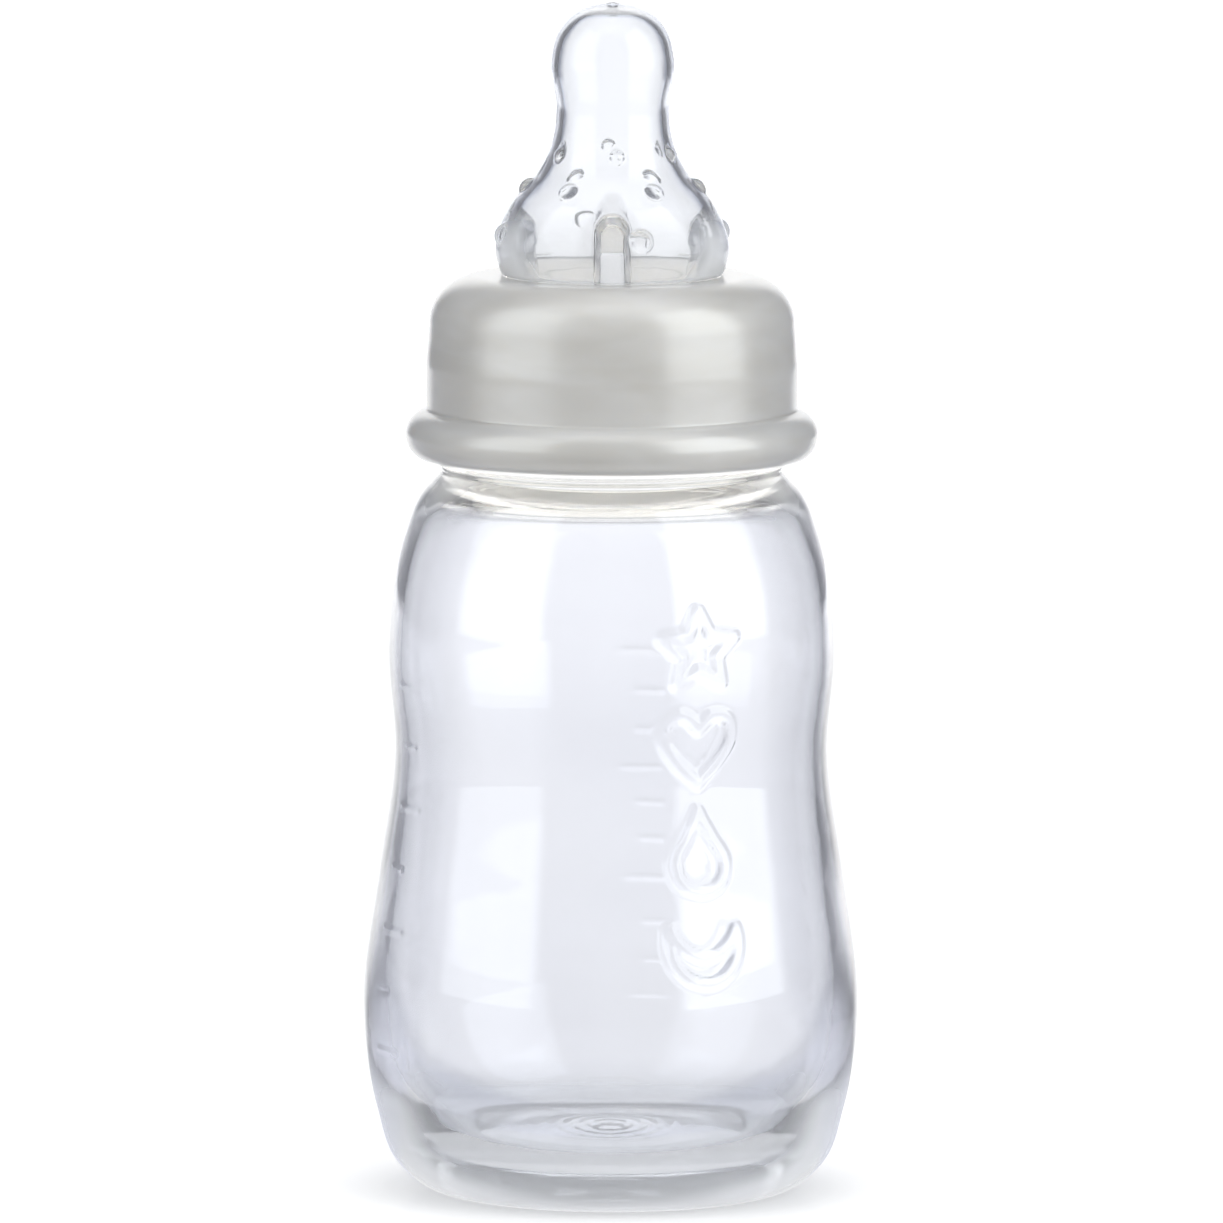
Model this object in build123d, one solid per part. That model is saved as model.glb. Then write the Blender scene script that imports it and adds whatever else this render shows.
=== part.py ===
from build123d import *
from math import asin, atan, atan2, cos, degrees, pi, radians, sin, sqrt
import os

# Narrow-neck baby bottle: a clear blow-moulded bottle, a screw collar and a silicone teat.
#
# Millimetres, +Z up along the bottle's axis, origin at the centre of the foot. The front, -Y, is
# the side that faces the user. Angles round the axis are seen from above, in degrees from +X.
# The collar turns on a single-start thread and carries the teat, whose flange it clamps on the rim.

# Bottle body: radii of the outside and the heights where they are reached
FOOT_RADIUS = 20.6
HIP_RADIUS, HIP_HEIGHT = 30.3, 22.0
WAIST_RADIUS, WAIST_HEIGHT = 26.5, 54.0
SHOULDER_RADIUS, SHOULDER_HEIGHT = 27.3, 67.0
BODY_TOP_RADIUS, BODY_TOP_HEIGHT = 21.2, 88.3
LEDGE_RADIUS, LEDGE_HEIGHT = 20.9, 89.25  # low ring that the collar closes down to
PUSH_UP = 2.0  # how far the middle of the base stands above the foot
FLOOR_HEIGHT = 4.6  # inside floor, at the axis
GATE_RADIUS, GATE_DEPTH = 1.5, 0.5  # moulding gate left in the middle of the base

# Walls of the body, thick at the hip and thin above, as a blown preform leaves them
HIP_WALL, WAIST_WALL, SHOULDER_WALL = 2.8, 1.6, 1.4

# Neck finish and thread
NECK_RADIUS, NECK_BORE_RADIUS = 18.7, 16.9
RIM_HEIGHT = 108.6
PITCH = 4.2
THREAD_DEPTH = 1.3
THREAD_ROOT_WIDTH, THREAD_CREST_WIDTH = 2.0, 1.1
BOTTLE_THREAD_TOP, BOTTLE_THREAD_TURNS = 105.0, 1.5
COLLAR_THREAD_TURNS = 1.25
TURNS_TO_OPEN = 1.75  # from tight until the two threads part

# Graduations, raised bars: (angle where the bars start, first height, step, count, bars per long bar)
ML_SCALE = (75.5, 18.5, 4.95, 10, 3)  # on the back, every 10 ml from 30 ml
OUNCE_SCALE = (199.0, 18.5, 7.425, 7, 2)  # on the left, every half ounce from 1 ounce
TICK_LONG, TICK_SHORT, TICK_THICKNESS = 5.6, 3.6, 0.7
TICK_RISE = 0.35
MARK_ROOT = 0.7  # how far raised marks reach into the wall they stand on

# Raised nursery motifs down the front, drawn as rounded lines, and the heights of their middles
MOTIF_ANGLE = -67.0
MOTIF_LINE, MOTIF_RISE = 1.8, 0.45
STAR_REACH = 4.9
STAR_HEIGHT, HEART_HEIGHT, DROP_HEIGHT, MOON_HEIGHT = 69.2, 57.4, 44.8, 33.4

# Collar
COLLAR_TOP = 112.5
COLLAR_WALL_RADIUS, COLLAR_SHOULDER_RADIUS = 22.7, 22.3
COLLAR_STRAIGHT_TOP = 101.5  # the wall is a true cylinder up to here, for a hood
COLLAR_DOME_FILLET = 6.0
COLLAR_BORE_RADIUS, COLLAR_HOLE_RADIUS = 20.5, 13.0
BEAD_RADIUS, BEAD_CENTRE_RADIUS, BEAD_HEIGHT = 3.1, 22.1, 92.95  # its underside is the collar's foot

# Teat
TEAT_WALL = [(115.8, 1.6), (118.6, 1.4), (121.4, 1.25), (125.1, 1.1), (128.4, 0.95), (132.8, 0.9),
             (138.6, 0.95), (142.3, 1.0), (144.7, 1.05)]  # wall thickness at some heights
FLANGE_RADIUS, FLANGE_THICKNESS = 18.6, 1.9
RUNNING_CLEARANCE = 0.08  # collar hole round the teat's groove
TEAT_LIP_RADIUS, TEAT_LIP_GAP = 13.7, 0.12
TEAT_BULGE_RADIUS, TEAT_BULGE_HEIGHT = 14.3, 115.6
TEAT_NECK_RADIUS, TEAT_NECK_HEIGHT = 6.85, 132.8
TEAT_TIP_RADIUS, TEAT_TIP_HEIGHT = 7.5, 138.6
TEAT_TOP = 145.8
TEAT_BASE_BORE_RADIUS = 11.5
FLOW_HOLE_RADIUS, TIP_WALL = 0.3, 1.15
RIB_COUNT, RIB_WIDTH, RIB_INNER_RADIUS, RIB_TOP = 4, 4.0, 9.3, 120.6
VENT_RADIUS, VENT_FROM_AXIS, VENT_GROOVE_DEPTH = 0.5, 14.9, 0.5

# Rows of nubs on the teat: height, radius of the dome's edge, how far it stands proud, count, first angle
NUB_ROWS = [
    (127.5, 1.0, 0.6, 6, -86.0),
    (123.4, 1.3, 0.7, 6, -61.0),
    (117.8, 1.5, 0.8, 4, -75.5),
]

FRONT = -90.0
SEAM = 46.5  # where the turned faces of the teat begin, clear of its ribs and nubs


def smooth(points, start, end):
    """A smooth curve through points, one cubic for each span, leaving and arriving along directions."""
    nodes = [Vector(*point) for point in points]
    chords = [after - before for before, after in zip(nodes, nodes[1:])]
    ways = [Vector(*start).normalized()]
    for before, after in zip(chords, chords[1:]):
        way = before.normalized() * after.length + after.normalized() * before.length
        ways.append(way.normalized())
    ways.append(Vector(*end).normalized())
    spans = []
    for i, chord in enumerate(chords):
        reach = chord.length / 3
        spans.append(Edge.make_bezier(
            nodes[i], nodes[i] + ways[i] * reach, nodes[i + 1] - ways[i + 1] * reach, nodes[i + 1]
        ))
    return Wire(spans)


def turned(*curves):
    """The solid of revolution about Z of a closed outline drawn as (radius, height)."""
    edges = [edge for curve in curves for edge in curve.edges()]
    return revolve(Plane.XZ * make_face(Wire(edges)), Axis.Z)


def ring_positions(count, first_angle):
    """Evenly spaced angles round the axis."""
    return [first_angle + i * 360.0 / count for i in range(count)]


def at_height(curve, height):
    """The point where an outline drawn upward reaches a height, and the outward normal's tilt."""
    low, high = 0.0, 1.0
    for _ in range(40):
        middle = (low + high) / 2
        if (curve @ middle).Y < height:
            low = middle
        else:
            high = middle
    along = curve % low
    return curve @ low, degrees(atan2(-along.X, along.Y))


def thread(root_radius, outward, top, turns, top_angle):
    """A right-hand thread ridge that ends at `top`, with rounded ends.

    It stands THREAD_DEPTH proud of root_radius, and is sunk a little into the wall it grows from.
    """
    sink = 0.25
    depth = THREAD_DEPTH + sink
    sign = 1.0 if outward else -1.0
    start_radius = root_radius - sign * sink
    height = turns * PITCH
    half_root, half_crest = THREAD_ROOT_WIDTH / 2, THREAD_CREST_WIDTH / 2
    half_sunk = half_root + (half_root - half_crest) * sink / THREAD_DEPTH
    lead = degrees(atan(PITCH / (2 * pi * root_radius)))

    helix = Helix(pitch=PITCH, height=height, radius=start_radius)
    section = Polyline(
        (0, -half_sunk),
        (sign * depth, -half_crest),
        (sign * depth, half_crest),
        (0, half_sunk),
        close=True,
    )
    section_plane = Plane(
        origin=(start_radius, 0, 0), x_dir=(1, 0, 0), z_dir=(0, -cos(radians(lead)), -sin(radians(lead)))
    )
    ridge = sweep(section_plane * make_face(section), path=helix, is_frenet=True)

    end_cap = Cone(half_sunk, half_crest, depth, align=(Align.CENTER, Align.CENTER, Align.MIN))
    along_radius = Rot(0, sign * 90, 0)
    foot_of_cap = Pos(start_radius, 0, 0) * along_radius
    ridge = ridge + foot_of_cap * end_cap
    ridge = ridge + Rot(0, 0, turns * 360.0) * Pos(0, 0, height) * foot_of_cap * end_cap
    return Rot(0, 0, top_angle - turns * 360.0) * Pos(0, 0, top - height) * ridge


def body_curve(rise=0.0):
    """The body's outside from the foot to just under the ledge, pushed outward by `rise`."""
    return smooth(
        [
            (FOOT_RADIUS, 0),
            (26.1 + rise, 3.3),
            (28.7 + rise, 10.2),
            (HIP_RADIUS + rise, HIP_HEIGHT),
            (28.35 + rise, 39.5),
            (WAIST_RADIUS + rise, WAIST_HEIGHT),
            (SHOULDER_RADIUS + rise, SHOULDER_HEIGHT),
            (25.35 + rise, 80.6),
            (23.1 + rise, 86.1),
            (BODY_TOP_RADIUS, BODY_TOP_HEIGHT),
        ],
        start=(1, 0),
        end=(-0.6, 1),
    )


def hollow_curve():
    """The body's inside, from the neck bore down to the floor's flat middle."""
    return smooth(
        [
            (NECK_BORE_RADIUS, LEDGE_HEIGHT - 2.0),
            (21.6, 84.6),
            (23.95, 79.8),
            (SHOULDER_RADIUS - SHOULDER_WALL, SHOULDER_HEIGHT),
            (WAIST_RADIUS - WAIST_WALL, WAIST_HEIGHT),
            (26.1, 39.5),
            (HIP_RADIUS - HIP_WALL, HIP_HEIGHT + 0.5),
            (25.6, 12.6),
            (22.0, 7.2),
            (15.5, 4.9),
            (GATE_RADIUS, FLOOR_HEIGHT),
        ],
        start=(0.8, -0.6),
        end=(-1, 0),
    )


def raised_skin(rise):
    """A skin from halfway through the body's wall to `rise` proud of it."""
    return turned(body_curve(rise), body_curve(-MARK_ROOT))


def scale_ticks(scale):
    """Graduation bars that stand TICK_RISE proud of the body, at one place round the axis."""
    start_angle, first_height, step, count, per_long = scale
    bars = Part()
    for i in range(count):
        length = TICK_LONG if i % per_long == 0 else TICK_SHORT
        bar = Box(12, length, TICK_THICKNESS, align=(Align.MIN, Align.MIN, Align.CENTER))
        bars += Pos(20, 0, first_height + i * step) * bar
    return raised_skin(TICK_RISE) & (Rot(0, 0, start_angle) * bars)


def mirrored(half, count=14):
    """Points round a closed outline: a curve that starts and ends at x = 0, and its mirror image."""
    right = [half @ (i / count) for i in range(count + 1)]
    left = [Vector(-point.X, point.Y) for point in reversed(right[1:-1])]
    return right + left


def shifted(points, amount):
    """The corners of a closed outline moved along their mitres, less those that would cross over."""
    moved = []
    for before, here, after in zip(points[-1:] + points[:-1], points, points[1:] + points[:1]):
        way_in, way_out = (here - before).normalized(), (after - here).normalized()
        mitre = Vector(way_in.Y + way_out.Y, -way_in.X - way_out.X)
        moved.append(here + mitre * amount * min(2 / mitre.length**2, 1.3 / mitre.length))
    clear = 0.95 * abs(amount)
    return [corner for corner in moved if min((corner - point).length for point in points) > clear]


def motif_outlines():
    """The middle lines of the motifs, about 9 across, with the heights of their middles."""
    star = []
    for i in range(10):
        reach = STAR_REACH if i % 2 == 0 else STAR_REACH / 2
        star.append(Vector(-reach * sin(i * pi / 5), reach * cos(i * pi / 5)))
    heart_side = [(0, -4.4), (2.8, -1.6), (4.4, 1.2), (3.9, 3.4), (2.2, 4.0), (0, 2.3)]
    heart = mirrored(smooth(heart_side, start=(0.9, 1), end=(-1, -1)), 11)
    drop_side = [(0, -4.8), (2.4, -3.8), (3.2, -1.3), (1.7, 1.6), (0, 4.9)]
    drop = mirrored(smooth(drop_side, start=(1, 0), end=(-0.3, 1)))
    moon_back = smooth([(0, -4.4), (2.6, -3.5), (4.2, -1.2), (4.2, 2.0)], start=(1, 0), end=(-0.3, 1))
    moon_bite = smooth([(4.2, 2.0), (2.3, -0.4), (0, -1.2)], start=(-0.4, -1), end=(-1, 0))
    moon = mirrored(Wire(moon_back.edges() + moon_bite.edges()))
    return [(star, STAR_HEIGHT), (heart, HEART_HEIGHT), (drop, DROP_HEIGHT), (moon, MOON_HEIGHT)]


def motifs():
    """The motifs as raised lines that follow the body."""
    lines = Part()
    for outline, height in motif_outlines():
        edges = [Polyline(*shifted(outline, side * MOTIF_LINE / 2), close=True) for side in (1, -1)]
        line = make_face(edges[0]) - make_face(edges[1])
        facing_out = Plane(origin=(20, 0, height), x_dir=(0, 1, 0), z_dir=(1, 0, 0))
        lines += extrude(facing_out * line, amount=12)
    return raised_skin(MOTIF_RISE) & (Rot(0, 0, MOTIF_ANGLE) * lines)


def make_bottle():
    outside = body_curve()
    inside = hollow_curve()
    rim_round = 0.5
    rim_outer, rim_inner = NECK_RADIUS - rim_round, NECK_BORE_RADIUS + rim_round
    gate_bottom = PUSH_UP - GATE_DEPTH
    ledge_round = 0.3
    ledge_foot = (LEDGE_RADIUS, BODY_TOP_HEIGHT + 0.15)
    ledge_side = (LEDGE_RADIUS, LEDGE_HEIGHT - ledge_round)
    ledge_top = (LEDGE_RADIUS - ledge_round, LEDGE_HEIGHT)
    bottle = turned(
        outside,
        Line(outside @ 1, ledge_foot),
        Line(ledge_foot, ledge_side),
        RadiusArc(ledge_side, ledge_top, -ledge_round),
        Line(ledge_top, (NECK_RADIUS, LEDGE_HEIGHT)),
        Line((NECK_RADIUS, LEDGE_HEIGHT), (NECK_RADIUS, RIM_HEIGHT - rim_round)),
        RadiusArc((NECK_RADIUS, RIM_HEIGHT - rim_round), (rim_outer, RIM_HEIGHT), -rim_round),
        Line((rim_outer, RIM_HEIGHT), (rim_inner, RIM_HEIGHT)),
        RadiusArc((rim_inner, RIM_HEIGHT), (NECK_BORE_RADIUS, RIM_HEIGHT - rim_round), -rim_round),
        Line((NECK_BORE_RADIUS, RIM_HEIGHT - rim_round), inside @ 0),
        inside,
        Line((GATE_RADIUS, FLOOR_HEIGHT), (0, FLOOR_HEIGHT)),
        Line((0, FLOOR_HEIGHT), (0, gate_bottom)),
        Line((0, gate_bottom), (GATE_RADIUS, gate_bottom)),
        Line((GATE_RADIUS, gate_bottom), (GATE_RADIUS, PUSH_UP)),
        smooth([(GATE_RADIUS, PUSH_UP), (10.0, 1.5), (18.6, 0.0)], start=(1, 0), end=(1, -0.35)),
        Line((18.6, 0), (FOOT_RADIUS, 0)),
    )
    for marks in (scale_ticks(ML_SCALE), scale_ticks(OUNCE_SCALE), motifs()):
        bottle += marks
    return bottle + thread(NECK_RADIUS, True, BOTTLE_THREAD_TOP, BOTTLE_THREAD_TURNS, FRONT)


def make_collar():
    ceiling = RIM_HEIGHT + FLANGE_THICKNESS
    corner_round, lip_round, skirt_chamfer = 1.5, 0.6, 0.5
    bead_top = BEAD_HEIGHT + sqrt(BEAD_RADIUS**2 - (COLLAR_WALL_RADIUS - BEAD_CENTRE_RADIUS) ** 2)
    foot_height = BEAD_HEIGHT - BEAD_RADIUS
    foot_outer = (BEAD_CENTRE_RADIUS, foot_height)
    foot_inner = (COLLAR_BORE_RADIUS + skirt_chamfer, foot_height)
    bead_side = (BEAD_CENTRE_RADIUS + BEAD_RADIUS, BEAD_HEIGHT)
    wall_foot = (COLLAR_WALL_RADIUS, bead_top)
    wall_top = (COLLAR_WALL_RADIUS, COLLAR_STRAIGHT_TOP)
    dome_foot = (COLLAR_SHOULDER_RADIUS, COLLAR_TOP - COLLAR_DOME_FILLET)
    dome_top = (COLLAR_SHOULDER_RADIUS - COLLAR_DOME_FILLET, COLLAR_TOP)
    lip_top = (COLLAR_HOLE_RADIUS + lip_round, COLLAR_TOP)
    lip_side = (COLLAR_HOLE_RADIUS, COLLAR_TOP - lip_round)
    hole_foot = (COLLAR_HOLE_RADIUS, ceiling)
    corner_top = (18.7, ceiling)
    corner_side = (18.7 + corner_round, ceiling - corner_round)
    bore_top = (COLLAR_BORE_RADIUS, BOTTLE_THREAD_TOP + 1.5)
    bore_foot = (COLLAR_BORE_RADIUS, foot_height + skirt_chamfer)
    shell = turned(
        Line(foot_inner, foot_outer),
        ThreePointArc(foot_outer, bead_side, wall_foot),
        Line(wall_foot, wall_top),
        Line(wall_top, dome_foot),
        RadiusArc(dome_foot, dome_top, -COLLAR_DOME_FILLET),
        Line(dome_top, lip_top),
        RadiusArc(lip_top, lip_side, -lip_round),
        Line(lip_side, hole_foot),
        Line(hole_foot, corner_top),
        RadiusArc(corner_top, corner_side, -corner_round),
        Line(corner_side, bore_top),
        Line(bore_top, bore_foot),
        Line(bore_foot, foot_inner),
    )
    # The collar's ridge runs midway between the turns of the bottle's, TURNS_TO_OPEN behind its top end
    low_end = BOTTLE_THREAD_TOP - TURNS_TO_OPEN * PITCH - PITCH / 2
    top = low_end + COLLAR_THREAD_TURNS * PITCH
    top_angle = FRONT + (COLLAR_THREAD_TURNS - TURNS_TO_OPEN) * 360.0
    return shell + thread(COLLAR_BORE_RADIUS, False, top, COLLAR_THREAD_TURNS, top_angle)


def teat_curve():
    """The outside of the teat from its lip up to the flow hole."""
    return smooth(
        [
            (TEAT_LIP_RADIUS, COLLAR_TOP + TEAT_LIP_GAP + 0.35),
            (TEAT_BULGE_RADIUS, TEAT_BULGE_HEIGHT),
            (13.5, 119.0),
            (12.2, 121.4),
            (9.05, 125.1),
            (7.5, 128.3),
            (TEAT_NECK_RADIUS, TEAT_NECK_HEIGHT),
            (TEAT_TIP_RADIUS, TEAT_TIP_HEIGHT),
            (6.55, 142.3),
            (4.35, 144.75),
            (FLOW_HOLE_RADIUS, TEAT_TOP),
        ],
        start=(0.35, 1),
        end=(-1, 0),
    )


def inset(curve, walls, share=1.0):
    """Points inside an outline, a share of the wall in along its normal, from (height, wall) pairs."""
    points = []
    for height, wall in walls:
        point, tilt = at_height(curve, height)
        depth = share * wall
        points.append((point.X - depth * cos(radians(tilt)), point.Y - depth * sin(radians(tilt))))
    return points


def teat_nubs():
    """Low domes on the outside, rooted in the wall and facing along its normal."""
    outside = teat_curve()
    root = 0.45
    nubs = []
    for height, edge_radius, rise, count, first_angle in NUB_ROWS:
        point, tilt = at_height(outside, height)
        ball_radius = (edge_radius**2 + rise**2) / (2 * rise)
        cut = ball_radius - rise - root
        ball = Sphere(ball_radius, arc_size1=degrees(asin(cut / ball_radius)))
        facing_out = Pos(point.X, 0, point.Y) * Rot(0, 90 - tilt, 0) * Pos(0, 0, rise - ball_radius) * ball
        nubs += [Rot(0, 0, angle) * facing_out for angle in ring_positions(count, first_angle)]
    return nubs


def teat_ribs():
    """Upright ribs inside the base, rooted halfway through the wall."""
    ceiling = RIM_HEIGHT + FLANGE_THICKNESS
    middle_radius = (TEAT_BASE_BORE_RADIUS + COLLAR_HOLE_RADIUS) / 2
    middle = smooth(
        [(middle_radius, COLLAR_TOP - 0.6)] + inset(teat_curve(), TEAT_WALL[:4], 0.5), (0, 1), (-0.6, 1)
    )
    core = turned(
        Line((0, ceiling - 0.5), (middle_radius, ceiling - 0.5)),
        Line((middle_radius, ceiling - 0.5), middle @ 0),
        middle,
        Line(middle @ 1, (0, (middle @ 1).Y)),
        Line((0, (middle @ 1).Y), (0, ceiling - 0.5)),
    )
    rib = Box(
        TEAT_BULGE_RADIUS - RIB_INNER_RADIUS,
        RIB_WIDTH,
        RIB_TOP - ceiling,
        align=(Align.MIN, Align.CENTER, Align.MIN),
    )
    rib = fillet(rib.edges().filter_by(Axis.Z).sort_by(Axis.X)[:2], 0.8)
    rib = (Pos(RIB_INNER_RADIUS, 0, ceiling) * rib) & (Rot(0, 0, SEAM) * core)
    return [Rot(0, 0, angle) * rib for angle in ring_positions(RIB_COUNT, FRONT)]


def make_teat():
    groove_radius = COLLAR_HOLE_RADIUS - RUNNING_CLEARANCE
    flange_top = RIM_HEIGHT + FLANGE_THICKNESS
    lip_height = COLLAR_TOP + TEAT_LIP_GAP
    outside = teat_curve()
    hole_top, hole_foot = (FLOW_HOLE_RADIUS, TEAT_TOP), (FLOW_HOLE_RADIUS, TEAT_TOP - TIP_WALL)
    inside = smooth(
        [hole_foot] + inset(outside, reversed(TEAT_WALL)) + [(TEAT_BASE_BORE_RADIUS, COLLAR_TOP - 0.5)],
        start=(1, 0),
        end=(-0.1, -1),
    )
    teat = turned(
        Line((TEAT_BASE_BORE_RADIUS + 0.6, RIM_HEIGHT), (FLANGE_RADIUS, RIM_HEIGHT)),
        Line((FLANGE_RADIUS, RIM_HEIGHT), (FLANGE_RADIUS, flange_top)),
        Line((FLANGE_RADIUS, flange_top), (groove_radius, flange_top)),
        Line((groove_radius, flange_top), (groove_radius, lip_height)),
        Line((groove_radius, lip_height), (TEAT_LIP_RADIUS - 0.2, lip_height)),
        Line((TEAT_LIP_RADIUS - 0.2, lip_height), outside @ 0),
        outside,
        Line(hole_top, hole_foot),
        inside,
        Line(inside @ 1, (TEAT_BASE_BORE_RADIUS + 0.6, RIM_HEIGHT)),
    )
    teat = Rot(0, 0, SEAM) * teat
    for piece in teat_nubs() + teat_ribs():
        teat += piece

    for angle in ring_positions(2, FRONT + 45.0):
        hole = Pos(VENT_FROM_AXIS, 0, flange_top) * Cylinder(VENT_RADIUS, 2 * FLANGE_THICKNESS + 1)
        channel = Box(
            FLANGE_RADIUS,
            2 * VENT_RADIUS,
            2 * VENT_GROOVE_DEPTH,
            align=(Align.MIN, Align.CENTER, Align.CENTER),
        )
        groove = Pos(VENT_FROM_AXIS, 0, flange_top) * channel
        teat -= Rot(0, 0, angle) * (hole + groove)
    return teat


def main():
    os.makedirs("parts", exist_ok=True)
    for name, make in (("bottle", make_bottle), ("collar", make_collar), ("teat", make_teat)):
        export_step(make(), f"parts/{name}.step")


main()
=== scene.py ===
import math

import bpy
import numpy as np
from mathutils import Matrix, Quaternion, Vector


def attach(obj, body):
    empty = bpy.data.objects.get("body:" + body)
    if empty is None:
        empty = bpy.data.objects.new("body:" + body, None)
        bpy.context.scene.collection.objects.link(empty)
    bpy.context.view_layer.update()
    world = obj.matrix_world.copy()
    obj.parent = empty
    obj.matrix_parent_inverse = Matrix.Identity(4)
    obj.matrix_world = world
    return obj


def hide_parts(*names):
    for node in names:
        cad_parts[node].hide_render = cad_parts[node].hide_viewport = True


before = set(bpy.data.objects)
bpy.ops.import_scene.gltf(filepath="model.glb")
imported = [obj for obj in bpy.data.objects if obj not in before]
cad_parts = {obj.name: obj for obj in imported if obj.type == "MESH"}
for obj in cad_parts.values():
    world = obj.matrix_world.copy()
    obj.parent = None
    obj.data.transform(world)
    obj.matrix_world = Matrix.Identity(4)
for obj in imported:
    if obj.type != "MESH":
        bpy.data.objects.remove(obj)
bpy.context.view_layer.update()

MM = 0.001

# ---------------------------------------------------------------- the object's outlines, in mm

FOOT_RADIUS, HIP_RADIUS, HIP_HEIGHT = 20.6, 30.3, 22.0
WAIST_RADIUS, WAIST_HEIGHT = 26.5, 54.0
SHOULDER_RADIUS, SHOULDER_HEIGHT = 27.3, 67.0
BODY_TOP_RADIUS, BODY_TOP_HEIGHT = 21.2, 88.3
LEDGE_RADIUS, LEDGE_HEIGHT, LEDGE_ROUND = 20.9, 89.25, 0.3
FOOT_INNER_RADIUS, PUSH_UP, FLOOR_HEIGHT = 18.6, 2.0, 4.6
GATE_RADIUS, GATE_DEPTH = 1.5, 0.5
HIP_WALL, WAIST_WALL, SHOULDER_WALL = 2.8, 1.6, 1.4
NECK_RADIUS, NECK_BORE_RADIUS, RIM_HEIGHT, RIM_ROUND = 18.7, 16.9, 108.6, 0.5
NECK_BORE_FOOT = LEDGE_HEIGHT - 2.0
NECK_THREAD_FROM, NECK_THREAD_TO = 96.6, 106.6  # the part of the neck that holds its thread
PITCH, THREAD_DEPTH = 4.2, 1.3
THREAD_ROOT, THREAD_CREST = 1.0, 0.55
BOTTLE_THREAD_TOP, BOTTLE_THREAD_TURNS, COLLAR_THREAD_TURNS, TURNS_TO_OPEN = 105.0, 1.5, 1.25, 1.75
FRONT = -90.0

# the body as (radius, height): outside from the foot up, inside from the neck down
BODY_OUTSIDE = [(FOOT_RADIUS, 0), (26.1, 3.3), (28.7, 10.2), (HIP_RADIUS, HIP_HEIGHT), (28.35, 39.5),
                (WAIST_RADIUS, WAIST_HEIGHT), (SHOULDER_RADIUS, SHOULDER_HEIGHT), (25.35, 80.6),
                (23.1, 86.1), (BODY_TOP_RADIUS, BODY_TOP_HEIGHT)]
BODY_INSIDE = [(NECK_BORE_RADIUS, NECK_BORE_FOOT), (21.6, 84.6), (23.95, 79.8),
               (SHOULDER_RADIUS - SHOULDER_WALL, SHOULDER_HEIGHT),
               (WAIST_RADIUS - WAIST_WALL, WAIST_HEIGHT), (26.1, 39.5),
               (HIP_RADIUS - HIP_WALL, HIP_HEIGHT + 0.5), (25.6, 12.6), (22.0, 7.2), (15.5, 4.9),
               (GATE_RADIUS, FLOOR_HEIGHT)]

COLLAR_TOP, COLLAR_WALL_RADIUS, COLLAR_SHOULDER_RADIUS = 112.5, 22.7, 22.3
COLLAR_STRAIGHT_TOP, COLLAR_DOME = 101.5, 6.0
COLLAR_BORE_RADIUS, COLLAR_HOLE_RADIUS = 20.5, 13.0
COLLAR_CORNER_RADIUS, COLLAR_CORNER, COLLAR_LIP, SKIRT_CHAMFER = 18.7, 1.5, 0.6, 0.5
COLLAR_THREAD_FROM, COLLAR_THREAD_TO, COLLAR_BORE_TOP = 91.5, 104.5, 106.5
BEAD_RADIUS, BEAD_CENTRE, BEAD_HEIGHT = 3.1, 22.1, 92.95
BEAD_FILLET, BEAD_FILLET_RISE = 0.33, 0.28
WALL_SINK, WALL_SINK_HEIGHT = 0.028, 98.0  # the wall's slight draw over its thread, and where it starts

FLANGE_RADIUS, FLANGE_THICKNESS, RUNNING_CLEARANCE = 18.6, 1.9, 0.08
TEAT_LIP_RADIUS, TEAT_LIP_GAP = 13.7, 0.12
TEAT_TOP, TIP_WALL, FLOW_HOLE = 145.8, 1.15, 0.3
TEAT_BASE_BORE = 11.5
# the teat's wall: height, thickness
TEAT_WALL = [(115.8, 1.6), (118.6, 1.4), (121.4, 1.25), (125.1, 1.1), (128.4, 0.95), (132.8, 0.9),
             (138.6, 0.95), (142.3, 1.0), (144.7, 1.05)]
TEAT_OUTSIDE = [(TEAT_LIP_RADIUS, COLLAR_TOP + TEAT_LIP_GAP + 0.35), (14.3, 115.6), (13.5, 119.0),
                (12.2, 121.4), (9.05, 125.1), (7.5, 128.3), (6.85, 132.8), (7.5, 138.6), (6.55, 142.3),
                (4.35, 144.75), (FLOW_HOLE, TEAT_TOP)]
RIB_COUNT, RIB_WIDTH, RIB_INNER, RIB_TOP = 4, 4.0, 9.3, 120.6
RIB_CROWN = 1.6  # how much lower a rib's top is at its sides
# rows of nubs: height, edge radius, rise, how many, angle of the first
NUB_ROWS = [(127.5, 1.0, 0.6, 6, -86.0), (123.4, 1.3, 0.7, 6, -61.0), (117.8, 1.5, 0.8, 4, -75.5)]

# scales: angle of the ticks' start, height of the first, step, how many, how many per long one
ML_SCALE = (75.5, 18.5, 4.95, 10, 3)
OUNCE_SCALE = (199.0, 18.5, 7.425, 7, 2)
ML_LABELS, ML_GAP, ML_RISE = ["30", "60", "90", "120"], 1.4, 0.27
OUNCE_LABELS, OUNCE_GAP, OUNCE_RISE = ["1", "2", "3", "4"], -1.2, 0.07
TICK_LONG, TICK_SHORT, TICK_END = 5.6, 3.6, 0.3
DIGIT_ADVANCE, DIGIT_SIZE, DIGIT_DROP = 2.6, 0.95, 1.6
MOTIF_ANGLE = -67.0
MOTIF_HEIGHTS = [69.2, 57.4, 44.8, 33.4]  # star, heart, drop, moon
MOTIF_RISE, MOTIF_EDGE, MOTIF_SLOPE = 0.43, 1.12, 0.72
MOTIF_REACH = 8.0  # no motif is taller than this above or below its middle
MARKS_FROM, MARKS_TO = 14.0, 80.0  # the body's heights that hold raised marks


def unit(v):
    return v / np.linalg.norm(v)


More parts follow.
